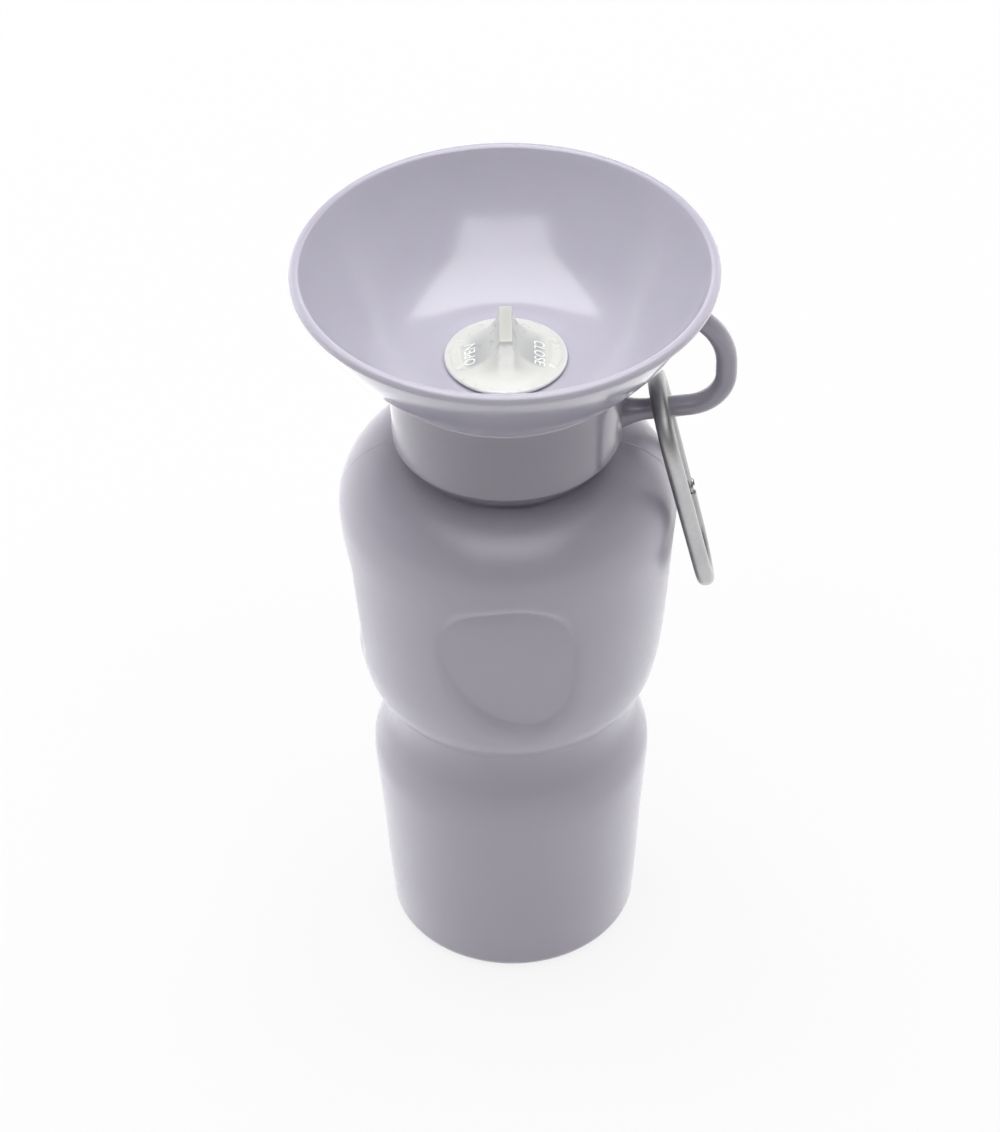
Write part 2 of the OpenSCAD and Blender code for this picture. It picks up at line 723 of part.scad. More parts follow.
// Length-wise section of the fin: upright ends that flare out into the disc
function fin_side(steps) =
    let (half = fin_len / 2, reach = knob_r - half)
    concat(
        [for (i = [0:steps]) let (a = 90 * i / steps) [
            knob_r - reach * sin(a), knob_top_z + fin_h * (1 - cos(a))
        ]],
        [for (i = [steps:-1:0]) let (a = 90 * i / steps) [
            reach * sin(a) - knob_r, knob_top_z + fin_h * (1 - cos(a))
        ]]
    );

// Valve knob: disc with a finger fin, on a hollow stem whose floor has two ports
module valve_knob() {
    web = 2.4;
    channel_step = 0.6;
    channel_rise = 3;
    spout_w = 7;
    spout_gap = 0.2;
    pocket_len = 13;
    pocket_in = stem_r + 0.7;
    pocket_out = pocket_in + 4;
    pocket_in_z = knob_top_z + 1.1;
    pocket_out_z = knob_top_z - 0.3;
    color(clear_color) difference() {
        union() {
            translate([0, 0, knob_under_z]) cylinder(r = knob_r, h = knob_edge_t);
            intersection() {
                translate([0, knob_r, 0]) rotate([90, 0, 0]) linear_extrude(2 * knob_r)
                    polygon(concat(tent(8), [[-knob_r, knob_under_z], [knob_r, knob_under_z]]));
                translate([-knob_r, 0, 0]) rotate([90, 0, 90]) linear_extrude(2 * knob_r)
                    polygon(concat(fin_side(8), [[-knob_r, knob_under_z], [knob_r, knob_under_z]]));
                translate([0, 0, knob_under_z]) cylinder(r = knob_r, h = fin_h + 2 * knob_edge_t);
            }
            translate([0, 0, stem_low_z]) cylinder(r = stem_r, h = knob_under_z - stem_low_z);
            translate([0, 0, post_low_z]) cylinder(r = post_r, h = stem_low_z - post_low_z);
        }
        // Channel up the stem, and the two hollows that carry on beside the fin's web
        translate([0, 0, stem_low_z + stem_floor_t])
            cylinder(r = stem_bore_r, h = knob_under_z - stem_low_z - stem_floor_t);
        intersection() {
            translate([0, 0, knob_under_z - cut])
                cylinder(r = stem_bore_r - channel_step, h = knob_edge_t + cut + channel_rise);
            for (side = [-1, 1])
                translate([side * (web + stem_bore_r), 0, knob_top_z])
                    cube([2 * stem_bore_r, 4 * stem_bore_r, 3 * channel_rise], center = true);
        }
        // Ports in the stem's floor, a quarter turn from the sleeve's when the valve is shut
        translate([0, 0, stem_low_z - cut]) ports(90, stem_floor_t + 2 * cut);
        // Spouts above the flange, where the water leaves the stem
        for (turn = [0, 90])
            rotate([0, 0, turn]) translate([0, 0, flange_top_z + spout_gap + spout_h / 2])
                cube([2 * stem_r + 2 * cut, spout_w, spout_h], center = true);
        // Hollows under the tent, either side of the stem
        for (side = [0, 180])
            rotate([0, 0, side]) translate([0, pocket_len / 2, 0]) rotate([90, 0, 0])
                linear_extrude(pocket_len) polygon([
                    [pocket_in, knob_under_z - cut], [pocket_out, knob_under_z - cut],
                    [pocket_out, pocket_out_z], [pocket_in, pocket_in_z]
                ]);
        // Grooves for the O-rings and the retaining clip
        for (z = [upper_ring_z, lower_ring_z])
            translate([0, 0, z - o_groove_w / 2]) tube(stem_r + cut, o_groove_r, o_groove_w);
        translate([0, 0, groove_low_z]) tube(post_r + cut, post_groove_r, groove_h);
    }
}

module o_ring(z) {
    color(seal_color) translate([0, 0, z]) rotate_extrude() translate([o_ring_c, 0])
        circle(o_ring_d / 2 - run_gap / 3);
}

module upper_o_ring() {
    o_ring(upper_ring_z);
}

module lower_o_ring() {
    o_ring(lower_ring_z);
}

// Retaining clip: open ring in the post's groove, under the sleeve's floor
module retainer_clip() {
    ring_r = post_r + 2;
    color(steel_color) translate([0, 0, groove_low_z + (groove_h - clip_t) / 2]) difference() {
        tube(ring_r, post_groove_r + seat_gap, clip_t);
        translate([0, 0, -cut]) linear_extrude(clip_t + 2 * cut)
            polygon([[0, 0], [2 * ring_r, -ring_r], [2 * ring_r, ring_r]]);
    }
}

// Tube adapter: plug in the sleeve's lower end, with a socket that grips the dip tube
module tube_adapter() {
    plug = valve_bore_r - seat_gap;
    color(clear_color) rotate_extrude() polygon([
        [tube_bore_r, sleeve_low_z + adapter_plug_h], [tube_bore_r, socket_top_z],
        [tube_r + seat_gap, socket_top_z], [tube_r + seat_gap, socket_low_z],
        [socket_r, socket_low_z], [socket_r, socket_top_z], [sleeve_r, socket_top_z],
        [sleeve_r, sleeve_low_z], [plug, sleeve_low_z], [plug, sleeve_low_z + adapter_plug_h]
    ]);
}

// Dip tube: draws from the bottom, where two notches keep it open on the base
module dip_tube() {
    color(clear_color) difference() {
        translate([0, 0, tube_low_z]) tube(tube_r, tube_bore_r, socket_top_z - tube_low_z);
        translate([0, 0, tube_low_z]) rotate([0, 45, 0])
            cube([tube_notch, 3 * tube_r, tube_notch], center = true);
    }
}

// Puts what is drawn in the carabiner's plane onto the loop's arm
module on_arm() {
    translate([clip_x, 0, clip_z]) rotate([0, -clip_lean, 0]) rotate([0, 0, clip_yaw])
        rotate([90, 0, 90]) translate(bow_c) rotate(clip_tilt) translate(-bow_c) children();
}

// Frame of the carabiner's gate side: +Y runs from its lower end towards the nose
module on_side() {
    translate([side_start.x, side_start.y, 0]) rotate([0, 0, -side_angle]) children();
}

// Carabiner body: bow, spine and lower end in one bar, with a tongue at each end of the gate's gap
module carabiner_body() {
    color(metal_color) on_arm() difference() {
        union() {
            difference() {
                swept(body_path, bar_section);
                on_side() translate([0, pivot_up, 0]) cylinder(r = swing_r, h = 2 * bar_t, center = true);
            }
            on_side() translate([0, 0, -tongue_t / 2]) {
                translate([-tongue_r, pivot_up - 2 * tongue_r, 0])
                    cube([2 * tongue_r, 2 * tongue_r, tongue_t]);
                translate([0, pivot_up, 0]) cylinder(r = tongue_r, h = tongue_t);
                translate([-nose_w / 2, side_len - nose_len, 0]) cube([nose_w, nose_len + 1, tongue_t]);
            }
        }
        on_side() translate([0, pivot_up, 0])
            cylinder(r = rivet_r + seat_gap, h = 2 * bar_t, center = true);
    }
}

// Carabiner gate: bar with a fork on the pivot, a slot for the nose, and a bore for its spring
module carabiner_gate() {
    color(metal_color) on_arm() on_side() difference() {
        union() {
            translate([0, pivot_up, 0]) rotate([-90, 0, 0])
                linear_extrude(gate_top - pivot_up) polygon(gate_section);
            translate([0, pivot_up, 0]) cylinder(r = bar_w / 2, h = gate_t - 1, center = true);
        }
        translate([-bar_w, pivot_up - bar_w, -fork_slot / 2])
            cube([2 * bar_w, bar_w + tongue_r + pass_gap, fork_slot]);
        translate([-bar_w, side_len - nose_len - pass_gap, -fork_slot / 2])
            cube([2 * bar_w, bar_w, fork_slot]);
        translate([0, pivot_up, 0]) cylinder(r = rivet_r + run_gap, h = 2 * bar_t, center = true);
        translate([0, pivot_up + tongue_r, 0]) rotate([-90, 0, 0])
            cylinder(r = gate_bore_r, h = gate_bore_len);
    }
}

// Gate rivet: shank through the fork and the tongue, with a head on each face
module gate_rivet() {
    face = gate_t / 2 + run_gap;
    color(steel_color) on_arm() on_side() translate([0, pivot_up, 0]) union() {
        cylinder(r = rivet_r, h = 2 * face, center = true);
        for (side = [0, 180])
            rotate([side, 0, 0]) translate([0, 0, face])
                cylinder(r1 = rivet_head_r, r2 = rivet_head_r - 0.4, h = rivet_head_t);
    }
}

// Gate plunger: button that bears on the tongue, with a pin that guides the spring
module gate_plunger() {
    color(steel_color) on_arm() on_side() translate([0, pivot_up, 0]) rotate([-90, 0, 0]) union() {
        translate([0, 0, plunger_tip]) cylinder(r = plunger_r, h = plunger_shoulder - plunger_tip);
        translate([0, 0, plunger_shoulder])
            cylinder(r = spring_mean_r - 0.5, h = plunger_end - plunger_shoulder);
    }
}

// Gate spring: one unbroken coil between the plunger's shoulder and the end of the gate's bore
module gate_spring() {
    low = plunger_shoulder + spring_wire_r + 0.05;
    high = tongue_r + gate_bore_len - spring_wire_r - 0.05;
    rings = 12 * spring_turns;
    sides = 6;
    slope = (high - low) / spring_turns;
    points = [
        for (i = [0:rings], j = [0:sides - 1])
            let (
                a = 360 * spring_turns * i / rings, b = 360 * j / sides,
                r = spring_mean_r + spring_wire_r * cos(b)
            )
            [r * cos(a), r * sin(a), low + slope * a / 360 + spring_wire_r * sin(b)]
    ];
    walls = [
        for (i = [0:rings - 1], j = [0:sides - 1])
            let (a = sides * i + j, b = sides * i + (j + 1) % sides)
            each [[a, b, b + sides], [a, b + sides, a + sides]]
    ];
    last = sides * rings;
    ends = [for (j = [1:sides - 2]) each [[0, j + 1, j], [last, last + j, last + j + 1]]];
    color(steel_color) on_arm() on_side() translate([0, pivot_up, 0]) rotate([-90, 0, 0])
        polyhedron(points, concat(walls, ends));
}

bottle();
collar();
carry_loop();
drinking_bowl();
neck_gasket();
bowl_seal();
valve_sleeve();
sleeve_nut();
sleeve_seal();
valve_knob();
upper_o_ring();
lower_o_ring();
retainer_clip();
tube_adapter();
dip_tube();
carabiner_body();
carabiner_gate();
gate_rivet();
gate_spring();
gate_plunger();
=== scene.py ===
"""Looks of a squeeze bottle with a drinking bowl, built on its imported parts.

Shape functions work in millimetres, in the frame of the parts: Z up, the front at -Y.
Each piece is a grid of points worked out as whole arrays, and its mesh is written in metres.
"""

import bmesh
import bpy
import numpy as np
from mathutils import Matrix


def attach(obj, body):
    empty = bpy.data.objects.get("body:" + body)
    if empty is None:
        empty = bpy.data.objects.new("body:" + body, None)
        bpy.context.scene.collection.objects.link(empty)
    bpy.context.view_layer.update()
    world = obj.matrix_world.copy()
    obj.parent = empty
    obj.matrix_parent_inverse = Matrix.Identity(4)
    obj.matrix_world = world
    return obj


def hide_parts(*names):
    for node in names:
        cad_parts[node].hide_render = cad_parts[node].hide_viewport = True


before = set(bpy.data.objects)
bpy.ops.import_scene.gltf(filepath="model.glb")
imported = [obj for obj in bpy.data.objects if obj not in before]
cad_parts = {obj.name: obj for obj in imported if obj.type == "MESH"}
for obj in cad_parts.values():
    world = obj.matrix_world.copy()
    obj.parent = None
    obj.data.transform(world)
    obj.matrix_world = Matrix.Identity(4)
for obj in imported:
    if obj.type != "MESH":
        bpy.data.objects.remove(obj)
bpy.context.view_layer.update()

pi = np.pi


# Curves and outlines


def ease(t):
    """Step from 0 to 1 with level ends: 3t^2 - 2t^3, with t held between 0 and 1."""
    t = np.clip(t, 0, 1)
    return t * t * (3 - 2 * t)


def curve_through(x, xs, ys):
    """Smooth curve through the places (xs, ys): cubics that at each place slope as the chords beside it."""
    slope = np.gradient(ys, xs)
    i = np.clip(np.searchsorted(xs, x) - 1, 0, len(xs) - 2)
    h = xs[i + 1] - xs[i]
    t = (x - xs[i]) / h
    return (
        (2 * t**3 - 3 * t**2 + 1) * ys[i] + (t**3 - 2 * t**2 + t) * h * slope[i]
        + (3 * t**2 - 2 * t**3) * ys[i + 1] + (t**3 - t**2) * h * slope[i + 1]
    )


def bend(centre, radius, start, end, count):
    """Arc about a centre, from one angle in degrees to another: centre + radius (cos a, sin a)."""
    a = np.radians(np.linspace(start, end, count))
    return np.asarray(centre, float) + radius * np.stack([np.cos(a), np.sin(a)], -1)


def eased(corners, radius, count=6):
    """Outline with rounded corners: each is a quadratic curve between the places a radius before and after it."""
    p = np.asarray(corners, float)
    before, after = p[:-2] - p[1:-1], p[2:] - p[1:-1]
    long_before = np.linalg.norm(before, axis=1)
    long_after = np.linalg.norm(after, axis=1)
    reach = np.minimum(radius, 0.45 * np.minimum(long_before, long_after))
    a = p[1:-1] + before * (reach / long_before)[:, None]
    b = p[1:-1] + after * (reach / long_after)[:, None]
    t = np.linspace(0, 1, count)[:, None, None]
    curve = (1 - t) ** 2 * a + 2 * t * (1 - t) * p[1:-1] + t**2 * b
    return np.concatenate([p[:1], curve.transpose(1, 0, 2).reshape(-1, 2), p[-1:]])


def spaced(outline, step):
    """The same outline with added places, so that no two neighbours lie more than a step apart."""
    far = np.concatenate([[0], np.cumsum(np.linalg.norm(np.diff(outline, axis=0), axis=1))])
    keep = np.unique(np.round(np.concatenate([far, np.arange(0, far[-1], step)]), 3))
    return np.stack([np.interp(keep, far, outline[:, 0]), np.interp(keep, far, outline[:, 1])], -1)


def directions(count, busy=(), width=0.45, gain=4.0):
    """Angles round the axis, closer together near the busy ones.

    Neighbours lie equal shares of 1 + gain exp(-(distance / width)^2) apart.
    """
    a = np.linspace(0, 2 * pi, 7201)
    away = (a[:, None] - np.radians(np.asarray(busy, float)) + pi) % (2 * pi) - pi
    share = 1 + gain * np.exp(-((away / width) ** 2)).sum(1)
    total = np.concatenate([[0], np.cumsum((share[1:] + share[:-1]) / 2)])
    return np.interp(np.linspace(0, total[-1], count, endpoint=False), total, a)


def turned(outline, around):
    """Solid of revolution: each (radius, height) of the outline goes round the Z axis."""
    r, z = outline[:, :1], outline[:, 1:]
    return np.stack([r * np.cos(around), r * np.sin(around), z + 0 * around], -1)


def carried(path, across, up, section, size=None):
    """Bar: each (x, y) of the section becomes place + size (x across + y up) at every step of the path."""
    grow = np.ones(len(path)) if size is None else size
    flat = section[None, :, :1] * across[:, None] + section[None, :, 1:] * up[:, None]
    skin = path[:, None] + grow[:, None, None] * flat
    ends = [np.repeat(path[i][None, None], len(section), axis=1) for i in (0, -1)]
    return np.concatenate([ends[0], skin, ends[1]])


# Meshes


def faces_of(points, around, closed):
    """Four-sided faces of a grid of points, joined across its last column, and across its last row if closed."""
    i = np.arange(points.shape[0] * points.shape[1]).reshape(points.shape[:2])
    if around:
        i = np.concatenate([i, i[:, :1]], 1)
    if closed:
        i = np.concatenate([i, i[:1]])
    return np.stack([i[:-1, :-1], i[:-1, 1:], i[1:, 1:], i[1:, :-1]], -1).reshape(-1, 4)


def piece(name, body, node, material, *grids, around=True, closed=False, crease=38):
    """Mesh of one or more grids, with its doubles merged, riding on a body and standing for a CAD node."""
    points = np.concatenate([g.reshape(-1, 3) for g in grids]) / 1000
    starts = np.cumsum([0] + [g.shape[0] * g.shape[1] for g in grids])
    faces = np.concatenate([faces_of(g, around, closed) + s for g, s in zip(grids, starts)])
    mesh = bpy.data.meshes.new(name)
    mesh.from_pydata(points, [], faces)
    return settled(mesh, name, body, node, material, crease)


def settled(mesh, name, body, node, material, crease, merge=2e-7):
    """Object of a finished mesh: doubles merged, smooth up to the crease angle in degrees."""
    work = bmesh.new()
    work.from_mesh(mesh)
    bmesh.ops.remove_doubles(work, verts=work.verts, dist=merge)
    bmesh.ops.dissolve_degenerate(work, edges=work.edges, dist=merge)
    work.to_mesh(mesh)
    work.free()
    mesh.shade_smooth()
    mesh.set_sharp_from_angle(angle=np.radians(crease))
    mesh.materials.clear()
    mesh.materials.append(material)
    made = bpy.data.objects.new(name, mesh)
    bpy.context.scene.collection.objects.link(made)
    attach(made, body)
    if node:
        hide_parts(node)
    return made


def copied(node, name, body, material, crease=34, bevel=0.0, below=None):
    """Smooth copy of a CAD node's mesh, bevelled, or cut off above a height, where those are given."""
    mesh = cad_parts[node].data.copy()
    work = bmesh.new()
    work.from_mesh(mesh)
    bmesh.ops.remove_doubles(work, verts=work.verts, dist=1e-6)
    if below is not None:
        bmesh.ops.bisect_plane(
            work, geom=work.verts[:] + work.edges[:] + work.faces[:], dist=1e-7,
            plane_co=(0, 0, below / 1000), plane_no=(0, 0, 1), clear_outer=True,
        )
    work.to_mesh(mesh)
    work.free()
    made = settled(mesh, name, body, node, material, crease, merge=1e-6)
    if bevel:
        edge = made.modifiers.new("edge", "BEVEL")
        edge.width = bevel / 1000
        edge.segments = 3
        edge.limit_method = "ANGLE"
        edge.angle_limit = np.radians(crease + 6)
        edge.harden_normals = True
    return made


# Materials


def light(r, g, b):
    """Colour given in the 0 to 255 steps of a screen, as the linear values of a shader."""
    c = np.array([r, g, b]) / 255
    c = np.where(c <= 0.04045, c / 12.92, ((c + 0.055) / 1.055) ** 2.4)
    return (*c.tolist(), 1.0)


class Nodes:
    """Node tree with short names for what is added to it."""

    def __init__(self, tree):
        self.tree = tree

    def add(self, kind, **settings):
        made = self.tree.nodes.new(kind)
        for key, value in settings.items():
            setattr(made, key, value)
        return made

    def join(self, a, b):
        self.tree.links.new(a, b)

    def maths(self, operation, a, b=0.0, c=0.0):
        """Output of one sum on values or outputs."""
        made = self.add("ShaderNodeMath", operation=operation)
        for socket, value in zip(made.inputs, (a, b, c)):
            if isinstance(value, (int, float)):
                socket.default_value = value
            else:
                self.join(value, socket)
        return made.outputs[0]

    def ranged(self, value, low, high, to_low, to_high, how="LINEAR"):
        """Value carried from one range to another and held inside it."""
        made = self.add("ShaderNodeMapRange", interpolation_type=how)
        self.join(value, made.inputs[0])
        for socket, number in zip(list(made.inputs)[1:5], (low, high, to_low, to_high)):
            socket.default_value = number
        return made.outputs[0]


class Finish(Nodes):
    """Material with a Principled shader, whose patterns all read Object coordinates."""

    def __init__(self, name, colour, **sockets):
        self.material = bpy.data.materials.new(name)
        self.material.use_nodes = True
        super().__init__(self.material.node_tree)
        self.shader = self.tree.nodes["Principled BSDF"]
        self.place = self.add("ShaderNodeTexCoord").outputs["Object"]
        self.colour = colour
        self.shader.inputs["Base Color"].default_value = colour
        for socket, value in sockets.items():
            title = socket.replace("_", " ").title().replace("Ior", "IOR")
            self.shader.inputs[title].default_value = value

    def split(self):
        """The three Object coordinates, in metres."""
        made = self.add("ShaderNodeSeparateXYZ")
        self.join(self.place, made.inputs[0])
        return made.outputs

    def noise(self, size, detail=2.0, rough=0.5, stretch=None):
        """Noise whose features are about the given size in millimetres."""
        made = self.add("ShaderNodeTexNoise")
        made.inputs["Scale"].default_value = 1000 / size
        made.inputs["Detail"].default_value = detail
        made.inputs["Roughness"].default_value = rough
        if stretch:
            turn = self.add("ShaderNodeMapping")
            turn.inputs["Scale"].default_value = stretch
            self.join(self.place, turn.inputs[0])
            self.join(turn.outputs[0], made.inputs["Vector"])
        else:
            self.join(self.place, made.inputs["Vector"])
        return made.outputs["Fac"]

    def tint(self, factor, other):
        """Base colour that turns into another where the factor is 1."""
        made = self.add("ShaderNodeMix", data_type="RGBA")
        self.join(factor, made.inputs[0])
        base = self.shader.inputs["Base Color"]
        if base.links:
            self.join(base.links[0].from_socket, made.inputs[6])
        else:
            made.inputs[6].default_value = self.colour
        made.inputs[7].default_value = other
        self.join(made.outputs[2], base)

    def roughened(self, value):
        self.join(value, self.shader.inputs["Roughness"])

    def bump(self, height, depth):
        """Relief of the given depth in millimetres, on top of any relief already there."""
        made = self.add("ShaderNodeBump")
        made.inputs["Strength"].default_value = 1
        made.inputs["Distance"].default_value = depth / 1000
        self.join(height, made.inputs["Height"])
        normal = self.shader.inputs["Normal"]
        if normal.links:
            self.join(normal.links[0].from_socket, made.inputs["Normal"])
        self.join(made.outputs[0], normal)


def shell_finish():
    """Blown bottle: satin lilac grey, a fine grain, and the hair line where the mould's halves met."""
    f = Finish("Satin shell", light(168, 164, 176), specular_ior_level=0.4)
    f.tint(f.ranged(f.noise(30, 3), 0.35, 0.65, 0, 0.5), light(165, 160, 173))
    f.roughened(f.ranged(f.noise(2.2, 3), 0.3, 0.7, 0.3, 0.38))
    f.bump(f.noise(0.6, 2, 0.6), 0.04)
    x, y, _ = f.split()
    seam = f.maths("ABSOLUTE", f.maths("ADD", y, f.maths("MULTIPLY", x, 0.0314)))
    f.bump(f.ranged(seam, 0, 0.00035, 1, 0), 0.16)
    return f.material


def collar_finish():
    """Moulded collar and loop: glossy grey lilac with faint flow waves."""
    f = Finish("Glossy collar", light(158, 154, 165), specular_ior_level=0.32)
    f.tint(f.ranged(f.noise(18, 2), 0.35, 0.65, 0, 0.6), light(155, 151, 162))
    f.roughened(f.ranged(f.noise(5, 3), 0.3, 0.7, 0.17, 0.24))
    f.bump(f.noise(7, 1), 0.03)
    return f.material


def bowl_finish():
    """Moulded bowl: glossy pale lilac, a little light going into it."""
    f = Finish(
        "Glossy bowl", light(172, 169, 181), specular_ior_level=0.5,
        subsurface_weight=0.12, subsurface_scale=0.002,
    )
    f.tint(f.ranged(f.noise(24, 2), 0.35, 0.65, 0, 0.6), light(169, 166, 179))
    f.roughened(f.ranged(f.noise(6, 3), 0.3, 0.7, 0.13, 0.2))
    f.bump(f.noise(9, 1), 0.03)
    return f.material


def milky_finish():
    """Milky, half clear plastic of the valve: light goes deep.

    Painted shade: a darker tint on the hollow flanks either side of the fin, strongest low down. Painted
    highlight: a lighter tint on the fin's front end. Painted shade: a greyer tint on the fin's top.
    """
    f = Finish(
        "Milky valve plastic", light(203, 204, 199), specular_ior_level=0.5,
        subsurface_weight=0.85, subsurface_scale=0.006,
    )
    f.shader.inputs["Subsurface Radius"].default_value = (1, 1, 1)
    x, y, z = f.split()
    # Painted shade: the mask hollow darkens the flanks either side of the fin, most where they lie low.
    sideways = f.maths("ABSOLUTE", f.maths("SUBTRACT", f.maths("ABSOLUTE", x), 0.0075))
    across = f.ranged(sideways, 0.003, 0.005, 1, 0)
    along = f.ranged(y, -0.0085, -0.0068, 0, 1)
    back = f.ranged(y, 0.002, 0.0095, 1, 0)
    low = f.ranged(z, 0.2335, 0.2385, 0.9, 0)
    hollow = f.maths("MULTIPLY", f.maths("MULTIPLY", across, along), f.maths("MULTIPLY", back, low))
    f.tint(hollow, light(164, 167, 168))
    # Painted highlight: a lighter tint on the fin's front end.
    in_fin = f.ranged(f.maths("ABSOLUTE", x), 0.0018, 0.003, 1, 0)
    front = f.ranged(y, -0.0092, -0.0086, 1, 0)
    front_end_highlight = f.maths("MULTIPLY", front, f.ranged(z, 0.233, 0.2375, 0, 1))
    f.tint(f.maths("MULTIPLY", in_fin, front_end_highlight), light(232, 233, 227))
    # Painted shade: a greyer tint on the fin's top.
    f.tint(f.ranged(z, 0.2415, 0.243, 0, 1), light(180, 181, 176))
    f.roughened(f.ranged(f.noise(3, 2), 0.3, 0.7, 0.26, 0.36))
    return f.material


def letters_highlight_finish():
    """Raised letters of the knob: the same plastic, with a painted highlight: a lighter colour all over than the
    knob's.
    """
    f = Finish("Milky letters painted highlight", light(238, 238, 236), roughness=0.35)
    f.tint(f.ranged(f.noise(3, 2), 0.3, 0.7, 0, 0.5), light(232, 232, 230))
    return f.material


def silicone_finish():
    """Seals: matt pale silicone."""
    f = Finish(
        "Silicone seal", light(205, 206, 210), roughness=0.55,
        subsurface_weight=0.2, subsurface_scale=0.002,
    )
    f.tint(f.ranged(f.noise(4, 2), 0.35, 0.65, 0, 0.6), light(196, 197, 202))
    f.bump(f.noise(0.8, 2), 0.01)
    return f.material


def anodised_finish():
    """Carabiner: satin grey anodised aluminium, blasted fine, a shade lighter where it has rubbed."""
    f = Finish("Grey anodised metal", light(144, 143, 144), metallic=1.0)
    f.tint(f.ranged(f.noise(14, 3), 0.4, 0.7, 0, 0.6), light(156, 155, 157))
    f.roughened(f.ranged(f.noise(1.6, 3), 0.3, 0.7, 0.42, 0.5))
    f.bump(f.noise(0.35, 2), 0.008)
    return f.material


def steel_finish():
    """Rivet, spring, plunger and clip: bright steel with faint drawing lines."""
    f = Finish("Bright steel", light(205, 205, 207), metallic=1.0)
    f.tint(f.ranged(f.noise(1.5, 2), 0.4, 0.7, 0, 0.6), light(185, 185, 188))
    f.roughened(f.ranged(f.noise(0.5, 3, stretch=(1, 1, 8)), 0.3, 0.7, 0.18, 0.32))
    return f.material


satin_shell = shell_finish()
glossy_collar = collar_finish()
glossy_bowl = bowl_finish()
milky = milky_finish()
milky_letters_highlight = letters_highlight_finish()
silicone = silicone_finish()
anodised = anodised_finish()
steel = steel_finish()


# Bottle

neck_r, mouth_r, neck_top = 32.0, 29.8, 222.5
chest_r, chest_z, shoulder_r, heel_r, inside_gap = 53.9, 173.8, 23.7, 4.2, 4.5
thread_pitch, thread_depth, thread_fade = 5.0, 1.5, 0.44
neck_thread_z, neck_thread_turns = 208.0, 1.75
ridge_root_half_w, ridge_slope_w = 1.2, 0.7

# Rings of the body: height, then outside radius
body_rings = np.array([
    (heel_r, 41.2), (20.4, 42.4), (40.9, 43.6), (54.5, 44.6), (64.7, 45.4), (71.6, 45.7), (75, 45.3),
    (78.4, 44.2), (81.8, 43.0), (85.2, 41.7), (88.6, 41.0), (92, 40.85), (95.4, 41.1), (98.6, 41.75),
    (101.4, 43.7), (104.4, 45.6), (107.6, 46.95), (112.4, 48.2), (119.3, 49.5), (126.1, 50.3), (136.3, 51.2),
    (146.5, 52.0), (156.7, 52.7), (163.6, 53.2), (170.4, 53.75), (chest_z, chest_r),
])

# Thumb dent: its middle on the front, and its outline as an angle in degrees and a distance from there
thumb_c = np.array([-1.5, 146.0])
thumb_outline = np.array([
    (-180, 19.8), (-157, 18.8), (-135, 19.6), (-114, 22.0), (-88, 27.2), (-70, 29.8), (-53, 28.5), (-29, 23.8),
    (-4, 21.2), (24, 22.9), (47, 24.8), (70, 24.5), (100, 23.1), (132, 24.4), (152, 22.9),
])
thumb_depth, thumb_floor_r = 3.2, 120.0
thumb_front, thumb_mid = 51.6, 146.0
thumb_slope = np.arctan2(5.5, 61.8)
rim_snap = 0.34

# Roll of the wall into the thumb dent: its width, how much wider it gets, and the way that is, low on the left
roll_width, roll_more, roll_way = 5.8, 2.6, np.radians(235)

# Finger dent: direction, height of its middle, half sizes without the corners, corner radius, depth, soft edge
finger_way, finger_z, finger_half, finger_corner_r = np.radians(172), 141.5, np.array([15, 14.5]), 10
finger_depth, finger_soft = 1.2, 6.5


def outline_reach(x, z):
    """Distance of a place from the dent's middle, and that of the outline in the same direction.

    The outline is a closed smooth curve of distance over angle.
    """
    place = np.stack([x, z], -1) - thumb_c
    a, r = thumb_outline.T
    around = np.concatenate([a[-3:] - 360, a, a[:3] + 360])
    far = np.concatenate([r[-3:], r, r[:3]])
    reach = curve_through(np.degrees(np.arctan2(place[..., 1], place[..., 0])), around, far)
    return np.linalg.norm(place, axis=-1), reach


def drawn_to_rim(points):
    """Front points beside the dent's outline moved onto it, along the wall, so that the rim is one clean line."""
    x, z = points[..., 0], points[..., 2]
    away, reach = outline_reach(x, z)
    close = (np.abs(away - reach) < rim_snap) & (points[..., 1] < 0) & (z < chest_z)
    moved = thumb_c + (np.stack([x, z], -1) - thumb_c) * (reach / np.maximum(away, 1))[..., None]
    r = curve_through(moved[..., 1], body_rings[:, 0], body_rings[:, 1])
    y = -np.sqrt(np.maximum(r * r - moved[..., 0] ** 2, 0))
    on_wall = np.stack([moved[..., 0], y, moved[..., 1]], -1)
    return np.where(close[..., None], on_wall, points)


def pressed_by_thumb(points):
    """Front points pushed back to a nearly flat floor inside the outline.

    At a distance d outside it the share (1 - d / width)^3 of the push is left, so the wall rolls over.
    """
    x, y, z = points[..., 0], points[..., 1], points[..., 2]
    s = thumb_slope
    depth = (thumb_depth + x * x / (2 * thumb_floor_r)) / np.cos(s)
    floor = -thumb_front - np.tan(s) * (z - thumb_mid) + depth
    away, reach = outline_reach(x, z)
    outside = np.maximum(away - reach, 0)
    toward = np.arctan2(z - thumb_mid, x)
    width = roll_width + roll_more * ease(0.5 + 0.6 * np.cos(toward - roll_way))
    push = np.clip(1 - outside / width, 0, 1) ** 3 * np.maximum(floor - y, 0) * (y < 0)
    return points + np.stack([0 * x, push, 0 * x], -1)


def pressed_by_fingers(points):
    """Left points drawn in by up to the dent's depth, inside a soft rounded box that lies along the wall."""
    r = np.hypot(points[..., 0], points[..., 1])
    away = np.arctan2(points[..., 1], points[..., 0]) - finger_way
    q = np.abs(np.stack([r * np.sin(away), points[..., 2] - finger_z], -1)) - finger_half
    inside = finger_corner_r - np.linalg.norm(np.maximum(q, 0), axis=-1) - np.minimum(q.max(-1), 0)
    drawn = finger_depth * ease(inside / finger_soft) * (np.cos(away) > 0)
    share = 1 - drawn / np.maximum(r, 1)
    return points * np.stack([share, share, 0 * r + 1], -1)


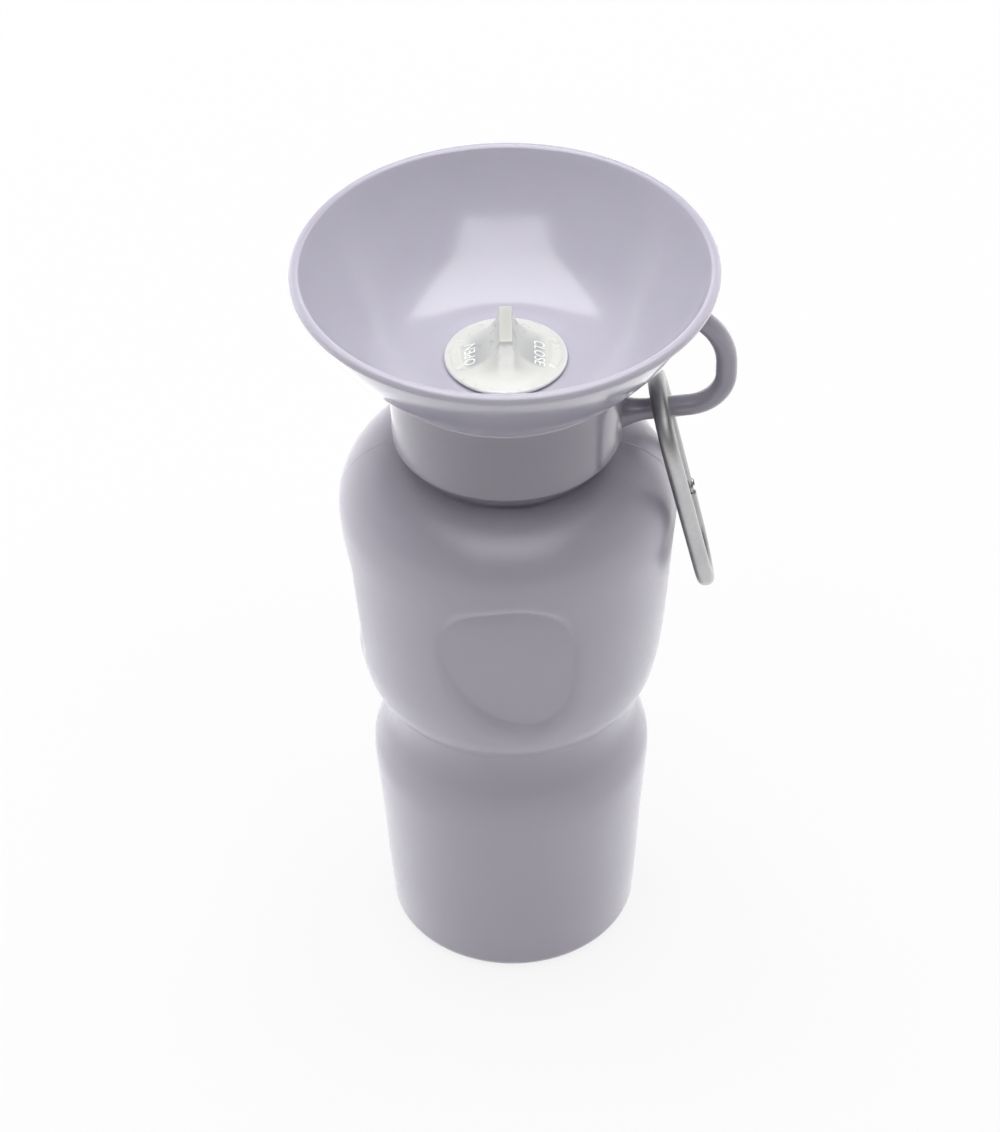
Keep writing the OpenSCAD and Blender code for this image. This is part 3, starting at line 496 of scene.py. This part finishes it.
def with_thread(points, start, turns, wall, sign):
    """A ridge on the wall, narrower at its crest, that climbs one pitch a turn and fades at its ends."""
    r = np.hypot(points[..., 0], points[..., 1])
    a = np.arctan2(points[..., 1], points[..., 0]) % (2 * pi)
    rise = 0 * r
    for turn in range(2):
        along = a + 2 * pi * turn
        off = np.abs(points[..., 2] - start - thread_pitch * along / (2 * pi))
        fade = np.clip(np.minimum(along, 2 * pi * turns - along) / thread_fade, 0, 1)
        rise = np.maximum(rise, np.clip((ridge_root_half_w - off) / ridge_slope_w, 0, 1) * fade)
    grow = 1 + sign * thread_depth * rise * (np.abs(r - wall) < 0.2) / np.maximum(r, 1)
    return points * np.stack([grow, grow, 0 * r + 1], -1)


def bottle_points():
    """The whole wall as one outline turned round, from the middle of the base up outside and down inside."""
    base = eased([(0, 2.6), (28.4, 2.6), (31, 0), (37, 0), (37.6, 0.02)], 0.9)[:-1]
    heel = bend((37, heel_r), heel_r, -88, -2, 12)
    z = np.concatenate([
        np.linspace(heel_r, 88, 52), np.linspace(88, 118, 64)[1:], np.linspace(118, chest_z, 78)[1:],
    ])
    wall = np.stack([curve_through(z, body_rings[:, 0], body_rings[:, 1]), z], -1)
    root = np.degrees(np.arccos((neck_r + 0.6 - chest_r + shoulder_r) / shoulder_r))
    shoulder = bend((chest_r - shoulder_r, chest_z), shoulder_r, 2, root, 34)
    top = shoulder[-1, 1]
    outside = np.concatenate([base, heel, wall, shoulder])
    neck = np.stack([np.full(50, neck_r), np.linspace(top + 0.6, neck_top - 0.8, 50)], -1)
    lip = eased([
        (neck_r, neck_top - 0.7), (neck_r, neck_top), (mouth_r, neck_top), (mouth_r, neck_top - 0.7),
    ], 0.6)
    inner_z = np.array([195, 188, chest_z, 150, 120, 104, 92, 80, 60, 20, 8])
    inner = np.stack([curve_through(inner_z, body_rings[:, 0], body_rings[:, 1]) - inside_gap, inner_z], -1)
    inner[:2, 0] = (mouth_r, 42)
    inner[-1, 0] = 36
    floor = np.array([(33, 4.6), (0, 4.6)])
    outline = np.concatenate([outside, neck, lip, inner, floor])
    points = turned(outline, directions(300, (270, 172), 0.42, 3.2))
    outer = np.arange(len(outline)) < len(outside) + len(neck) + 2
    skin = pressed_by_fingers(pressed_by_thumb(drawn_to_rim(points)))
    skin = with_thread(skin, neck_thread_z, neck_thread_turns, neck_r, 1)
    return np.where(outer[:, None, None], skin, points)


bottle = piece("bottle_shell", "bottle", "bottle", satin_shell, bottle_points(), crease=60)


# Collar

collar_r, collar_bore, collar_low = 36.45, 33.95, 202.1
seat, deck_top, deck_under = 229.7, 227.2, 224.7
collar_thread_z, collar_thread_turns = 205.95, 1.5


def collar_points():
    """Threaded cap as one closed outline turned round: outside up, rim, deck and its hole, then the bore down."""
    outline = eased([
        (35.0, collar_low), (36.15, collar_low), (collar_r, 215), (collar_r, seat), (34.35, seat),
        (34.35, deck_top), (26.65, deck_top), (26.65, 226.2), (20.55, 226.2), (20.55, deck_top),
        (17.6, deck_top), (17.6, deck_under), (collar_bore, deck_under), (collar_bore, collar_low + 0.8),
        (34.75, collar_low), (35.0, collar_low),
    ], 0.7, 5)
    outline = spaced(outline, 0.6)[:-1]
    return with_thread(turned(outline, directions(224)), collar_thread_z, collar_thread_turns, collar_bore, -1)


collar = piece("collar_cap", "lid", "collar", glossy_collar, collar_points(), closed=True, crease=50)


# Carry loop

loop_rise, loop_r, loop_root = np.radians(6), 3.4, 208.4
arm = np.array([np.cos(loop_rise), np.sin(loop_rise)])
arm_length, lower_bend_r, upper_bend_r = 21, 12.4, 21
flare_more, flare_length = 0.62, 9.5
bend_start = np.array([collar_r, loop_root]) + arm_length * arm
lower_bend = bend_start + lower_bend_r * np.array([-arm[1], arm[0]])
upper_bend = lower_bend + np.array([lower_bend_r - upper_bend_r, 4])


def loop_points():
    """Round rod along the loop's middle line, which lies in y = 0, flared where it grows out of the collar."""
    out = np.linspace(-1.2, 20.4, 30)[:, None] * arm + np.array([collar_r, loop_root])
    lower = bend(lower_bend, lower_bend_r, -84, 0, 26)
    upper = bend(upper_bend, upper_bend_r, 0, 45, 26)
    tail = upper[-1] + np.linspace(0.5, 8.6, 12)[:, None] * np.array([-1, 1]) / np.sqrt(2)
    line = np.concatenate([out, lower, upper[1:], tail])
    ahead = np.gradient(line, axis=0)
    ahead /= np.linalg.norm(ahead, axis=1)[:, None]
    level = np.zeros(len(line))
    path = np.stack([line[:, 0], level, line[:, 1]], -1)
    across = np.stack([ahead[:, 1], level, -ahead[:, 0]], -1)
    up = np.stack([level, level + 1, level], -1)
    far = np.linalg.norm(line - line[0], axis=1)
    flare = 1 + flare_more * np.clip(1 - far / flare_length, 0, 1) ** 2
    a = np.linspace(0, 2 * pi, 40, endpoint=False)
    ring = loop_r * np.stack([np.cos(a), np.sin(a)], -1)
    return carried(path, across, up, ring, flare)


loop = piece("carry_loop_rod", "lid", "carry_loop", glossy_collar, loop_points(), crease=60)


# Drinking bowl

bead_c, bead_r, bowl_curve, bowl_wall = np.array([64.25, 264.3]), 1.75, 92.5, 2.3
bowl_floor, fillet_r = 229.5, 30

# Moulding line round the bowl, under the bead: height, half width, and how far it stands out
mould_z, mould_half_w, mould_out = 261.8, 0.25, 0.12


def bowl_points():
    """Bowl as one closed outline turned round: outer arc, bead, inner arc, floor fillet, well, and the foot."""
    foot = np.array([38.85, 230.0])
    ring = np.array([39.7, 230.95])
    head = bead_c + bead_r * np.array([np.cos(np.radians(-100)), np.sin(np.radians(-100))])
    chord = head - foot
    length = np.linalg.norm(chord)
    sideways = np.array([-chord[1], chord[0]]) / length
    centre = (foot + head) / 2 + sideways * np.sqrt(bowl_curve**2 - length**2 / 4)

    def angle(place):
        return np.degrees(np.arctan2(place[1] - centre[1], place[0] - centre[0]))

    inner_r = bowl_curve - bowl_wall
    drop = centre[1] - bowl_floor - fillet_r
    out = np.sqrt((inner_r - fillet_r) ** 2 - drop**2)
    meet = -np.degrees(np.arctan2(drop, out))
    outer = bend(centre, bowl_curve, angle(ring), angle(head), 60)
    bead = bend(bead_c, bead_r, -84, 160, 30)
    inner = bend(centre, inner_r, angle(head), meet, 60)
    fillet = bend((centre[0] + out, bowl_floor + fillet_r), fillet_r, meet, -90, 26)
    under = eased([
        fillet[-1], (15.5, bowl_floor), (15.5, 225.5), (10.05, 225.5), (10.05, 223), (17.3, 223),
        (17.3, deck_top), (34.05, deck_top), (34.05, seat), (37.2, seat), (39.6, seat + 0.05),
        (39.75, ring[1]), outer[1],
    ], 0.5, 5)
    outline = np.concatenate([outer, bead, inner, fillet[:-1], spaced(under, 1.5)[:-1]])
    moulding = np.exp(-(((outline[:, 1] - mould_z) / mould_half_w) ** 2))
    outline[:, 0] += mould_out * moulding * (np.arange(len(outline)) < len(outer))
    return turned(outline, directions(288))


bowl = piece("drinking_bowl_shell", "lid", "drinking_bowl", glossy_bowl, bowl_points(), closed=True, crease=40)


# Valve knob

knob_r, knob_under, knob_edge, fin_h = 19.1, 230.5, 1.0, 12.1
fin_half_t, fin_half_len, fin_edge = 2.1, 9.0, 0.6

# Underside of the knob, with a low lip near the rim: share of the radius, and how far down
under_rows = ((1, 0), (0.965, 0.8), (0.83, 0.8), (0.8, 0), (0, 0))

# Raised arc at each side of the knob: middle radius, half width, half angle, height; and the rounding of the rim
arc_r, arc_half_w, arc_half_angle, arc_h, rim_edge = 15.7, 1.5, 0.46, 0.3, 0.5

# Words on the knob: letter size, narrowing, place along the fin, height over the surface, and how deep they go
word_size, word_narrow, word_y, word_rise, word_root = 4.8, 0.8, -1.6, 0.14, 0.3


def fin_core(place):
    """Nearest place on the fin's core, the way from there, and the distance.

    The core is the fin's outline less its rounded edge.
    """
    half = np.array([fin_half_t, fin_half_len]) - fin_edge
    core = np.clip(place, -half, half)
    d = np.linalg.norm(place - core, axis=-1)
    return core, (place - core) / np.maximum(d, 1e-9)[..., None], d


def knob_height(x, y):
    """Top of the knob over its disc: a rounded fin, and round it a hollow quarter circle down to the rim.

    At a share s of the way from the fin to the rim the height is H (1 - sqrt(1 - (1 - s)^2)).
    A low raised arc is added at each side, and the rim is rounded.
    """
    core, way, d = fin_core(np.stack([x, y], -1))
    start = core + fin_edge * way
    lean = (start * way).sum(-1)
    reach = np.sqrt(np.maximum(lean**2 + knob_r**2 - (start**2).sum(-1), 0)) - lean
    share = np.clip((d - fin_edge) / np.maximum(reach, 1e-6), 0, 1)
    hollow = (fin_h - fin_edge) * (1 - np.sqrt(1 - (1 - share) ** 2))
    rounded = fin_h - fin_edge + np.sqrt(np.maximum(fin_edge**2 - d**2, 0))
    height = np.where(d > fin_edge, hollow, rounded)
    rho = np.hypot(x, y)
    turn = np.abs(np.arctan2(y, np.abs(x)))
    mark = arc_h * ease((arc_half_w - np.abs(rho - arc_r)) / 0.4) * ease((arc_half_angle - turn) / 0.03)
    near_rim = np.clip((rho - knob_r) / rim_edge + 1, 0, 1)
    return height + mark - rim_edge * (1 - np.sqrt(1 - near_rim**2))


def knob_points():
    """Closed rings from the fin's middle line over its edge and the hollow to the rim, then back underneath."""
    a = np.linspace(0, 2 * pi, 480, endpoint=False)
    rim = knob_r * np.stack([np.cos(a), np.sin(a)], -1)
    core, way, _ = fin_core(rim)
    outline = core + fin_edge * way
    spine = fin_half_len - fin_half_t
    line = np.stack([0 * a, np.clip(core[:, 1], -spine, spine)], -1)
    inward = np.array([1, 0.66, 0.33])[:, None, None]
    over = np.sin(np.linspace(0, pi / 2, 7))[:, None, None]
    out = np.r_[1 - np.cos(np.linspace(0, pi / 2, 121)[1:]), 0.975, 0.99, 0.997]
    out = np.sort(out)[:, None, None]
    flat = np.concatenate([
        core + (line - core) * inward, core + fin_edge * way * over, outline + (rim - outline) * out,
    ])
    height = knob_under + knob_edge + knob_height(flat[..., 0], flat[..., 1])
    top = np.concatenate([flat, height[..., None]], -1)
    under = np.stack([
        np.concatenate([share * rim, 0 * a[:, None] + knob_under - drop], -1)
        for share, drop in under_rows
    ])
    return np.concatenate([top, under])


def knob_mesh():
    """Mesh of the knob's rings, with the places that fall together merged."""
    grid = knob_points()
    mesh = bpy.data.meshes.new("valve_knob_top")
    mesh.from_pydata(grid.reshape(-1, 3) / 1000, [], faces_of(grid, True, False))
    work = bmesh.new()
    work.from_mesh(mesh)
    bmesh.ops.remove_doubles(work, verts=work.verts, dist=1e-6)
    bmesh.ops.recalc_face_normals(work, faces=work.faces)
    work.to_mesh(mesh)
    work.free()
    return mesh


knob = settled(knob_mesh(), "valve_knob_top", "knob", "valve_knob", milky, 50)
stem = copied("valve_knob", "valve_stem", "knob", milky, below=knob_under + 0.2)


def knob_word(text, x, turn):
    """Raised word on the knob: letters turned about their middle, their tops just over the knob's surface."""
    line = bpy.data.curves.new(text.lower() + "_word", "FONT")
    line.body = text
    line.size = word_size / 1000
    line.extrude = 0.0005
    line.space_character = 1.06
    line.align_x = line.align_y = "CENTER"
    maker = bpy.data.objects.new(line.name, line)
    bpy.context.scene.collection.objects.link(maker)
    ready = maker.evaluated_get(bpy.context.evaluated_depsgraph_get())
    mesh = bpy.data.meshes.new_from_object(ready)
    bpy.data.objects.remove(maker)
    co = np.empty(len(mesh.vertices) * 3)
    mesh.vertices.foreach_get("co", co)
    co = co.reshape(-1, 3) * 1000
    co[:, 0] *= word_narrow
    c, s = np.cos(np.radians(turn)), np.sin(np.radians(turn))
    px, py = x + c * co[:, 0] - s * co[:, 1], word_y + s * co[:, 0] + c * co[:, 1]
    pz = knob_under + knob_edge + knob_height(px, py) + np.where(co[:, 2] > 0, word_rise, -word_root)
    mesh.vertices.foreach_set("co", (np.stack([px, py, pz], -1) / 1000).ravel())
    mesh.update()
    word = settled(mesh, text.lower() + "_letters", "knob", None, milky_letters_highlight, 30)


knob_word("OPEN", -11.0, 90)
knob_word("CLOSE", 10.2, -90)


# Carabiner, and the pieces inside that keep their own shape

for node, name, body, finish, slot in (
    ("carabiner_body", "carabiner_bow", "carabiner", anodised, "clip_metal"),
    ("carabiner_gate", "carabiner_gate_bar", "gate", anodised, "clip_metal"),
    ("gate_rivet", "gate_rivet_pin", "carabiner", steel, "steel"),
):
    copied(node, name, body, finish, bevel=0.25)

for finish, names in (
    (milky, ("valve_sleeve", "sleeve_nut", "tube_adapter", "dip_tube")),
    (silicone, ("neck_gasket", "bowl_seal", "sleeve_seal", "upper_o_ring", "lower_o_ring")),
    (steel, ("retainer_clip", "gate_spring", "gate_plunger")),
):
    for name in names:
        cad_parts[name].data.materials.clear()
        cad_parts[name].data.materials.append(finish)


# Camera, where the photograph's stood

camera_pitch, camera_roll, camera_distance = 40.73, -0.93, 1.286
camera_target = np.array([-2.9, 0, 145.12]) / 1000
camera_film, camera_lens = 36, 36 * 3973.5 / 1132


def placed(made, right, up, back, place):
    """An object stood at a place, with its own X, Y and Z along right, up and back."""
    rows = [[*map(float, (right[i], up[i], back[i], place[i]))] for i in range(3)]
    made.matrix_world = Matrix(rows + [[0, 0, 0, 1]])


def aim_camera():
    """Camera that looks down along +Y at its target, rolled a little."""
    pitch, roll = np.radians(camera_pitch), np.radians(camera_roll)
    ahead = np.array([0, np.cos(pitch), -np.sin(pitch)])
    level_up = np.array([0, np.sin(pitch), np.cos(pitch)])
    level_right = np.array([1.0, 0, 0])
    right = np.cos(roll) * level_right + np.sin(roll) * level_up
    up = np.cos(roll) * level_up - np.sin(roll) * level_right
    place = camera_target - camera_distance * ahead
    data = bpy.data.cameras.new("camera")
    data.sensor_fit = "VERTICAL"
    data.sensor_height = camera_film
    data.lens = camera_lens
    data.clip_end = 50
    made = bpy.data.objects.new("camera", data)
    bpy.context.scene.collection.objects.link(made)
    placed(made, right, up, -ahead, place)
    bpy.context.scene.camera = made


aim_camera()


# Studio


def softbox(name, place, target, size, power, mirrored=True, lighting=True):
    """Area lamp of a size in metres that looks at its target, for the gloss, for the matt light, or for both."""
    data = bpy.data.lights.new(name, "AREA")
    data.shape = "RECTANGLE"
    data.size, data.size_y = size
    data.energy = power
    made = bpy.data.objects.new(name, data)
    bpy.context.scene.collection.objects.link(made)
    z = np.asarray(place, float) - np.asarray(target, float)
    z /= np.linalg.norm(z)
    x = np.cross([0, 0, 1], z)
    x /= np.linalg.norm(x)
    y = np.cross(z, x)
    placed(made, x, y, z, place)
    made.visible_glossy = mirrored
    made.visible_diffuse = lighting


softbox("ceiling box", (0, 0.05, 1.6), (0, 0.049, 0), (1.7, 1.7), 39)
softbox("ceiling edge", (0, -1.2, 1.6), (0, -1.201, 0), (1.7, 0.8), 16.5, lighting=False)
softbox("left wall", (-1.5, 0.6, 0.4), (0, 0, 0.15), (1.3, 1.0), 8.4, mirrored=False)
softbox("right wall", (1.5, 0.6, 0.4), (0, 0, 0.15), (1.3, 1.0), 3.8, mirrored=False)


def studio_air():
    """Pale room: white to the camera, and to every other ray bright low down behind, dim in front, dark above."""
    world = bpy.data.worlds.new("pale room")
    world.use_nodes = True
    n = Nodes(world.node_tree)
    back = n.tree.nodes["Background"]
    back.inputs["Color"].default_value = (1, 1, 1, 1)
    parts = n.add("ShaderNodeSeparateXYZ")
    n.join(n.add("ShaderNodeTexCoord").outputs["Generated"], parts.inputs[0])
    behind = n.ranged(parts.outputs[1], -0.1, 0.7, 0.4, 1.7, "SMOOTHSTEP")
    level = n.ranged(parts.outputs[2], 0.3, 0.6, 1.0, 0.0, "SMOOTHSTEP")
    ray = n.add("ShaderNodeLightPath")
    shown = n.maths("MAXIMUM", ray.outputs["Is Camera Ray"], ray.outputs["Is Transmission Ray"])
    n.join(n.maths("MAXIMUM", shown, n.maths("MULTIPLY", behind, level)), back.inputs["Strength"])
    bpy.context.scene.world = world


studio_air()


def pale_floor():
    """White floor, a wide disc that glows for the camera, fully from 0.7 m out, so that it has no edge."""
    rings = np.array([(0, 0), (0.5, 0), (2, 0), (6, 0)]) * 1000
    points = turned(rings + np.array([0, -0.05]), directions(64)) / 1000
    mesh = bpy.data.meshes.new("floor")
    mesh.from_pydata(points.reshape(-1, 3), [], faces_of(points, True, False))
    floor = bpy.data.objects.new("floor", mesh)
    bpy.context.scene.collection.objects.link(floor)
    f = Finish("Pale floor", light(214, 214, 216), roughness=0.7, specular_ior_level=0.2)
    ray = f.add("ShaderNodeLightPath")
    glow = f.add("ShaderNodeEmission")
    glow.inputs[0].default_value = (1, 1, 1, 1)
    f.join(f.maths("MULTIPLY_ADD", ray.outputs["Is Glossy Ray"], 1.1, 1.0), glow.inputs[1])
    mix = f.add("ShaderNodeMixShader")
    seen = f.maths("MAXIMUM", ray.outputs["Is Camera Ray"], ray.outputs["Is Transmission Ray"])
    x, y, _ = f.split()
    away = f.maths("SQRT", f.maths("MULTIPLY_ADD", x, x, f.maths("MULTIPLY", y, y)))
    seen = f.maths("MAXIMUM", seen, ray.outputs["Is Glossy Ray"])
    f.join(f.maths("MULTIPLY", seen, f.ranged(away, 0.2, 0.7, 0.85, 1)), mix.inputs[0])
    f.join(f.shader.outputs[0], mix.inputs[1])
    f.join(glow.outputs[0], mix.inputs[2])
    f.join(mix.outputs[0], f.tree.nodes["Material Output"].inputs[0])
    mesh.materials.append(f.material)


pale_floor()

bpy.context.scene.view_settings.view_transform = "Standard"
